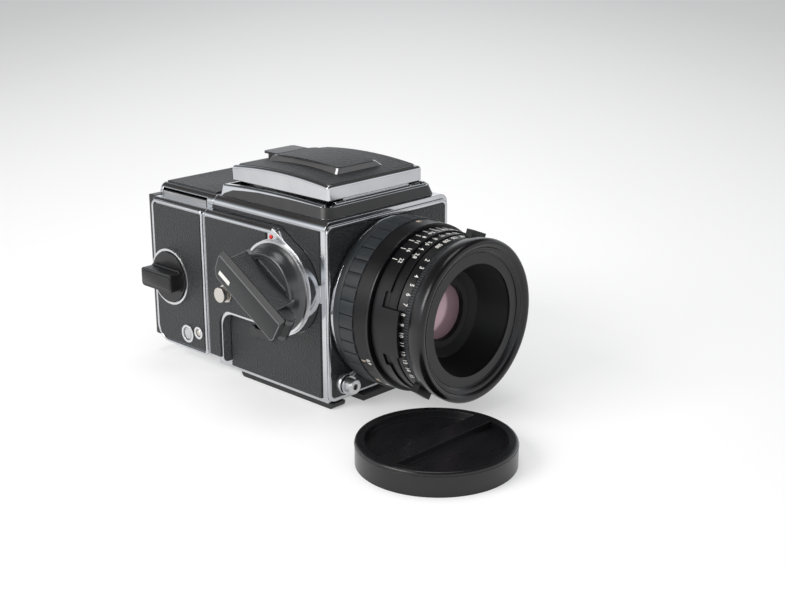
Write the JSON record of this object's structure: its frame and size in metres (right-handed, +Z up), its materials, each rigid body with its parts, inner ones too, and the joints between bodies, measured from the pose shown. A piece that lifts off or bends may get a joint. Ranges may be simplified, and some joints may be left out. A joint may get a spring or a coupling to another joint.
{
  "type": "medium format film camera",
  "caption": "Single lens reflex film camera: cube body, folding finder, winding crank, detachable film magazine, short lens, loose cap.",
  "frame": {"origin": "centre of the tripod socket's mouth, on the underside of the tripod plate", "axes": "+Z up, the lens looks along -Y, the winding crank is on the -X side"},
  "size_m": [0.1315, 0.236, 0.108],
  "materials": {
    "chrome": "satin",
    "leather": "fine grained",
    "black_paint": "satin",
    "black_anodised": "matt",
    "rubber": "ribbed",
    "black_plastic": "satin",
    "steel": "machined",
    "glass": "coated",
    "ground_glass": "matt",
    "mirror": "polished",
    "grey_anodised": "satin",
    "film": "matt",
    "brass": "machined"
  },
  "bodies": {
    "camera_body": {"body_shell": "chrome", "mirror_chamber": "black_paint", "body_coverings": "leather", "body_mount_ring": "chrome", "base_runners": "black_plastic", "tripod_plate": "black_paint", "tripod_socket": "steel", "strap_lugs": "chrome", "crank_bezel": "chrome", "focusing_screen": "ground_glass", "finder_base": "chrome", "lens_flange": "chrome"},
    "crank": {"crank_hub": "black_plastic", "crank_gear": "brass"},
    "crank_arm": {"crank_arm": "black_paint"},
    "idler": {"idler_gear": "brass"},
    "rear_drive": {"rear_gear": "brass"},
    "time_lever": {"time_lever": "chrome"},
    "release": {"release_button": "black_paint"},
    "mirror": {"mirror": "mirror"},
    "upper_flap": {"upper_flap": "black_paint"},
    "lower_flap": {"lower_flap": "black_paint"},
    "lid": {"finder_lid": "chrome", "finder_dome": "black_paint", "finder_tab": "chrome"},
    "left_panel": {"left_panel": "black_paint"},
    "right_panel": {"right_panel": "black_paint"},
    "rear_panel": {"rear_panel": "black_paint"},
    "magnifier": {"magnifier": "glass"},
    "magazine": {"magazine_shell": "chrome", "magazine_top_covering": "leather", "magazine_rear_cover": "leather"},
    "dark_slide": {"dark_slide": "steel"},
    "magazine_release": {"magazine_release": "black_paint"},
    "film_insert": {"insert_side_plate": "chrome", "insert_covering": "leather", "insert_trim": "chrome", "insert_frame": "steel", "pressure_plate": "steel"},
    "supply": {"supply_spool": "black_plastic", "film_roll": "film"},
    "takeup": {"takeup_spool": "black_plastic"},
    "magazine_drive": {"magazine_gear": "brass"},
    "film_key": {"film_key": "chrome"},
    "focus": {"focus_ring": "rubber"},
    "lens": {"lens_barrel": "black_anodised", "front_barrel": "black_anodised", "name_ring": "grey_anodised", "front_glass": "glass", "rear_cell": "glass", "shutter_housing": "black_anodised"},
    "aperture": {"aperture_ring": "black_anodised"},
    "speed": {"speed_ring": "black_anodised"},
    "depth_slider": {"depth_slider": "black_anodised"},
    "cap": {"lens_cap": "black_plastic"},
    "blade_1": {"iris_blade_1": "steel"},
    "blade_2": {"iris_blade_2": "steel"},
    "blade_3": {"iris_blade_3": "steel"},
    "blade_4": {"iris_blade_4": "steel"},
    "blade_5": {"iris_blade_5": "steel"}
  },
  "joints": [
    {"name": "crank_turn", "type": "hinge", "parent": "camera_body", "child": "crank", "pos_m": [-0.047, 0.005, 0.0555], "axis": [1, 0, 0], "range_deg": [0, 360]},
    {"name": "arm_fold", "type": "hinge", "parent": "crank", "child": "crank_arm", "pos_m": [-0.0592, -0.01386, 0.04417], "axis": [0, -0.515, 0.8572], "range_deg": [0, 175]},
    {"name": "idler_turn", "type": "hinge", "parent": "camera_body", "child": "idler", "pos_m": [-0.0433, 0.03091, 0.06612], "axis": [1, 0, 0], "range_deg": [-420, 0]},
    {"name": "rear_gear_turn", "type": "hinge", "parent": "camera_body", "child": "rear_drive", "pos_m": [-0.0433, 0.05017, 0.05549], "axis": [1, 0, 0], "range_deg": [0, 605]},
    {"name": "magazine_gear_turn", "type": "hinge", "parent": "film_insert", "child": "magazine_drive", "pos_m": [-0.0433, 0.06817, 0.05549], "axis": [1, 0, 0], "range_deg": [-605, 0]},
    {"name": "takeup_turn", "type": "hinge", "parent": "film_insert", "child": "takeup", "pos_m": [0, 0.08397, 0.06603], "axis": [1, 0, 0], "range_deg": [0, 545]},
    {"name": "supply_turn", "type": "hinge", "parent": "film_insert", "child": "supply", "pos_m": [0, 0.08397, 0.0254], "axis": [1, 0, 0], "range_deg": [-285, 0]},
    {"name": "film_key_turn", "type": "hinge", "parent": "film_insert", "child": "film_key", "pos_m": [-0.05, 0.084, 0.0447], "axis": [1, 0, 0], "range_deg": [0, 90]},
    {"name": "time_lever_swing", "type": "hinge", "parent": "camera_body", "child": "time_lever", "pos_m": [-0.043, 0.026, 0.0289], "axis": [1, 0, 0], "range_deg": [0, 20]},
    {"name": "release_press", "type": "slide", "parent": "camera_body", "child": "release", "axis": [0, 1, 0], "range_m": [0, 0.002], "stiffness_N_per_m": 400, "springref_m": -0.001},
    {"name": "mirror_swing", "type": "hinge", "parent": "camera_body", "child": "mirror", "pos_m": [0, 0.0475, 0.07755], "axis": [-1, 0, 0], "range_deg": [0, 45]},
    {"name": "upper_flap_swing", "type": "hinge", "parent": "camera_body", "child": "upper_flap", "pos_m": [0, 0.0515, 0.073], "axis": [-1, 0, 0], "range_deg": [0, 90]},
    {"name": "lower_flap_swing", "type": "hinge", "parent": "camera_body", "child": "lower_flap", "pos_m": [0, 0.0515, 0.018], "axis": [1, 0, 0], "range_deg": [0, 90]},
    {"name": "lid_swing", "type": "hinge", "parent": "camera_body", "child": "lid", "pos_m": [0, -0.0146, 0.0944], "axis": [1, 0, 0], "range_deg": [0, 93]},
    {"name": "left_panel_swing", "type": "hinge", "parent": "camera_body", "child": "left_panel", "pos_m": [0.03, 0.02, 0.0924], "axis": [0, 1, 0], "range_deg": [0, 90]},
    {"name": "right_panel_swing", "type": "hinge", "parent": "camera_body", "child": "right_panel", "pos_m": [-0.03, 0.02, 0.0924], "axis": [0, -1, 0], "range_deg": [0, 90]},
    {"name": "rear_panel_swing", "type": "hinge", "parent": "camera_body", "child": "rear_panel", "pos_m": [0, 0.05, 0.0924], "axis": [-1, 0, 0], "range_deg": [0, 90]},
    {"name": "magnifier_swing", "type": "hinge", "parent": "lid", "child": "magnifier", "pos_m": [0, 0.0159, 0.099], "axis": [1, 0, 0], "range_deg": [-89, 0]},
    {"name": "magazine_off", "type": "slide", "parent": "camera_body", "child": "magazine", "axis": [0, 1, 0], "range_m": [0, 0.01]},
    {"name": "dark_slide_pull", "type": "slide", "parent": "magazine", "child": "dark_slide", "axis": [1, 0, 0], "range_m": [0, 0.07]},
    {"name": "magazine_unlock", "type": "slide", "parent": "magazine", "child": "magazine_release", "axis": [1, 0, 0], "range_m": [0, 0.0018]},
    {"name": "insert_draw", "type": "slide", "parent": "magazine", "child": "film_insert", "axis": [-1, 0, 0], "range_m": [0, 0.09]},
    {"name": "focus_turn", "type": "hinge", "parent": "camera_body", "child": "focus", "pos_m": [0, -0.03, 0.04605], "axis": [0, 1, 0], "range_deg": [0, 270]},
    {"name": "lens_advance", "type": "slide", "parent": "camera_body", "child": "lens", "axis": [0, -1, 0], "range_m": [0, 0.0081]},
    {"name": "aperture_turn", "type": "hinge", "parent": "lens", "child": "aperture", "pos_m": [0, -0.057, 0.04605], "axis": [0, 1, 0], "range_deg": [0, 60]},
    {"name": "speed_turn", "type": "hinge", "parent": "lens", "child": "speed", "pos_m": [0, -0.063, 0.04605], "axis": [0, -1, 0], "range_deg": [0, 60]},
    {"name": "slider_shift", "type": "hinge", "parent": "lens", "child": "depth_slider", "pos_m": [0, -0.058, 0.04605], "axis": [0, 1, 0], "range_deg": [-8, 8]},
    {"name": "blade_1_swing", "type": "hinge", "parent": "lens", "child": "blade_1", "pos_m": [0.0215, -0.0505, 0.04605], "axis": [0, -1, 0], "range_deg": [0, 20.5]},
    {"name": "blade_2_swing", "type": "hinge", "parent": "lens", "child": "blade_2", "pos_m": [0.00664, -0.0505, 0.0665], "axis": [0, -1, 0], "range_deg": [0, 20.5]},
    {"name": "blade_3_swing", "type": "hinge", "parent": "lens", "child": "blade_3", "pos_m": [-0.01739, -0.0505, 0.05869], "axis": [0, -1, 0], "range_deg": [0, 20.5]},
    {"name": "blade_4_swing", "type": "hinge", "parent": "lens", "child": "blade_4", "pos_m": [-0.01739, -0.0505, 0.03341], "axis": [0, -1, 0], "range_deg": [0, 20.5]},
    {"name": "blade_5_swing", "type": "hinge", "parent": "lens", "child": "blade_5", "pos_m": [0.00664, -0.0505, 0.0256], "axis": [0, -1, 0], "range_deg": [0, 20.5]},
    {"name": "cap_shift", "type": "slide", "parent": "camera_body", "child": "cap", "axis": [-1, 0, 0], "range_m": [0, 0.06]}
  ],
  "couplings": [
    {"joint": "idler_turn", "follows": "crank_turn", "ratio": -1.1538},
    {"joint": "rear_gear_turn", "follows": "crank_turn", "ratio": 1.6667},
    {"joint": "magazine_gear_turn", "follows": "crank_turn", "ratio": -1.6667},
    {"joint": "takeup_turn", "follows": "crank_turn", "ratio": 1.5},
    {"joint": "supply_turn", "follows": "crank_turn", "ratio": -0.777},
    {"joint": "upper_flap_swing", "follows": "mirror_swing", "ratio": 2},
    {"joint": "lower_flap_swing", "follows": "mirror_swing", "ratio": 2},
    {"joint": "left_panel_swing", "follows": "lid_swing", "ratio": 0.96764},
    {"joint": "right_panel_swing", "follows": "lid_swing", "ratio": 0.96764},
    {"joint": "rear_panel_swing", "follows": "lid_swing", "ratio": 0.96764},
    {"joint": "magnifier_swing", "follows": "lid_swing", "ratio": -0.95},
    {"joint": "lens_advance", "follows": "focus_turn", "m_per_rad": 0.0016976},
    {"joint": "blade_1_swing", "follows": "aperture_turn", "ratio": 0.33333},
    {"joint": "blade_2_swing", "follows": "aperture_turn", "ratio": 0.33333},
    {"joint": "blade_3_swing", "follows": "aperture_turn", "ratio": 0.33333},
    {"joint": "blade_4_swing", "follows": "aperture_turn", "ratio": 0.33333},
    {"joint": "blade_5_swing", "follows": "aperture_turn", "ratio": 0.33333}
  ]
}
